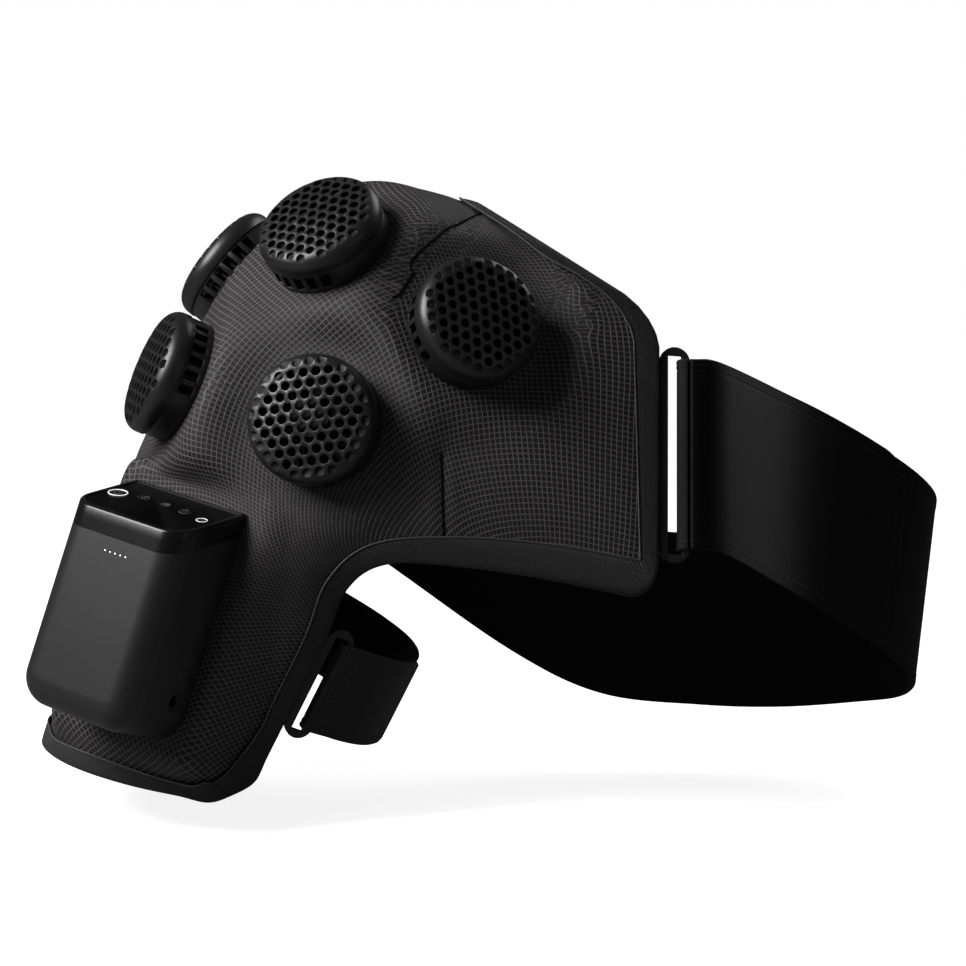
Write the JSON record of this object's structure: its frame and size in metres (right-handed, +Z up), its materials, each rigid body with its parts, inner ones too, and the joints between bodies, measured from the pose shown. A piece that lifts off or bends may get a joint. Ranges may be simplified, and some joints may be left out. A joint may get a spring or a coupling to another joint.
{
  "type": "hot cold therapy machine",
  "caption": "Padded shoulder wrap with round thermoelectric modules, a battery pack with push keys, and a chest and an arm strap that loop back through slotted rings.",
  "frame": {"origin": "centre of the wearer's shoulder joint, inside the wrap", "axes": "+Z up along the wearer, +X from the shoulder towards the middle of the chest, -Y faces the viewer of the front"},
  "size_m": [0.4498, 0.2161, 0.2975],
  "materials": {
    "wrap_fabric": "woven ripstop",
    "lining_fabric": "brushed knit",
    "binding_tape": "ribbed tape",
    "module_plastic": "satin moulding",
    "fan_plastic": "satin",
    "bare_aluminium": "satin",
    "tile_ceramic": "matt",
    "screw_steel": "plain",
    "pack_plastic": "satin moulding",
    "inner_plastic": "plain",
    "gloss_black": "glossy",
    "switch_metal": "plain",
    "light_lens": "milky lens",
    "cell_sleeve": "shrink sleeve",
    "board_green": "coated board",
    "socket_plastic": "plain",
    "ring_plastic": "satin moulding",
    "strap_fabric": "matt felt-faced strap"
  },
  "bodies": {
    "wrap": {"wrap_shell": "wrap_fabric", "wrap_lining": "lining_fabric", "edge_binding": "binding_tape", "grille_cap_1": "module_plastic", "grille_cap_2": "module_plastic", "grille_cap_3": "module_plastic", "grille_cap_4": "module_plastic", "grille_cap_5": "module_plastic", "vent_housing_1": "module_plastic", "vent_housing_2": "module_plastic", "vent_housing_3": "module_plastic", "vent_housing_4": "module_plastic", "vent_housing_5": "module_plastic", "fan_motor_1": "fan_plastic", "fan_motor_2": "fan_plastic", "fan_motor_3": "fan_plastic", "fan_motor_4": "fan_plastic", "fan_motor_5": "fan_plastic", "heat_sink_1": "bare_aluminium", "heat_sink_2": "bare_aluminium", "heat_sink_3": "bare_aluminium", "heat_sink_4": "bare_aluminium", "heat_sink_5": "bare_aluminium", "contact_plate_1": "bare_aluminium", "contact_plate_2": "bare_aluminium", "contact_plate_3": "bare_aluminium", "contact_plate_4": "bare_aluminium", "contact_plate_5": "bare_aluminium", "peltier_tiles": "tile_ceramic", "plate_screws": "screw_steel", "pack_front_case": "pack_plastic", "pack_back_case": "pack_plastic", "pack_dock": "inner_plastic", "pack_bezel": "gloss_black", "key_panel": "gloss_black", "key_switches": "switch_metal", "level_lights": "light_lens", "battery_cells": "cell_sleeve", "cell_holder": "inner_plastic", "control_board": "board_green", "charge_socket": "socket_plastic", "pack_screws": "screw_steel", "chest_ring": "ring_plastic", "chest_strap": "strap_fabric", "arm_ring": "ring_plastic", "arm_strap": "strap_fabric"},
    "rotor_1": {"fan_rotor_1": "fan_plastic"},
    "rotor_2": {"fan_rotor_2": "fan_plastic"},
    "rotor_3": {"fan_rotor_3": "fan_plastic"},
    "rotor_4": {"fan_rotor_4": "fan_plastic"},
    "rotor_5": {"fan_rotor_5": "fan_plastic"},
    "key_cap_1": {"key_1": "gloss_black"},
    "key_cap_2": {"key_2": "gloss_black"},
    "key_cap_3": {"key_3": "gloss_black"},
    "key_cap_4": {"key_4": "gloss_black"},
    "key_cap_5": {"key_5": "gloss_black"},
    "chest_flap_body": {"chest_flap": "strap_fabric"},
    "arm_flap_body": {"arm_flap": "strap_fabric"}
  },
  "joints": [
    {"name": "fan_spin_1", "type": "hinge", "parent": "wrap", "child": "rotor_1", "pos_m": [-0.00023, -0.04882, 0.08346], "axis": [-0.3505, -0.621, 0.7011], "continuous": true},
    {"name": "fan_spin_2", "type": "hinge", "parent": "wrap", "child": "rotor_2", "pos_m": [-0.05107, 0.02538, 0.06559], "axis": [-0.7701, 0.15, 0.6201], "continuous": true},
    {"name": "fan_spin_3", "type": "hinge", "parent": "wrap", "child": "rotor_3", "pos_m": [-0.07728, -0.03668, 0.01452], "axis": [-0.8704, -0.3002, 0.3902], "continuous": true},
    {"name": "fan_spin_4", "type": "hinge", "parent": "wrap", "child": "rotor_4", "pos_m": [-0.00236, -0.0889, -0.00441], "axis": [-0.2009, -0.9544, 0.221], "continuous": true},
    {"name": "fan_spin_5", "type": "hinge", "parent": "wrap", "child": "rotor_5", "pos_m": [0.07317, -0.07242, 0.04121], "axis": [0.3811, -0.8424, 0.3811], "continuous": true},
    {"name": "key_press_1", "type": "slide", "parent": "wrap", "child": "key_cap_1", "axis": [-0.0876, 0.2115, -0.9734], "range_m": [0, 0.0006], "stiffness_N_per_m": 2000, "springref_m": -0.0003},
    {"name": "key_press_2", "type": "slide", "parent": "wrap", "child": "key_cap_2", "axis": [-0.0876, 0.2115, -0.9734], "range_m": [0, 0.0006], "stiffness_N_per_m": 2000, "springref_m": -0.0003},
    {"name": "key_press_3", "type": "slide", "parent": "wrap", "child": "key_cap_3", "axis": [-0.0876, 0.2115, -0.9734], "range_m": [0, 0.0006], "stiffness_N_per_m": 2000, "springref_m": -0.0003},
    {"name": "key_press_4", "type": "slide", "parent": "wrap", "child": "key_cap_4", "axis": [-0.0876, 0.2115, -0.9734], "range_m": [0, 0.0006], "stiffness_N_per_m": 2000, "springref_m": -0.0003},
    {"name": "key_press_5", "type": "slide", "parent": "wrap", "child": "key_cap_5", "axis": [-0.0876, 0.2115, -0.9734], "range_m": [0, 0.0006], "stiffness_N_per_m": 2000, "springref_m": -0.0003},
    {"name": "chest_flap_peel", "type": "hinge", "parent": "wrap", "child": "chest_flap_body", "pos_m": [0.17419, -0.06187, -0.0219], "axis": [-0.0146, -0.2766, -0.9609], "range_deg": [0, 60]},
    {"name": "arm_flap_peel", "type": "hinge", "parent": "wrap", "child": "arm_flap_body", "pos_m": [0.004, -0.072, -0.13433], "axis": [-0.448, 0.045, -0.8929], "range_deg": [0, 40]}
  ]
}
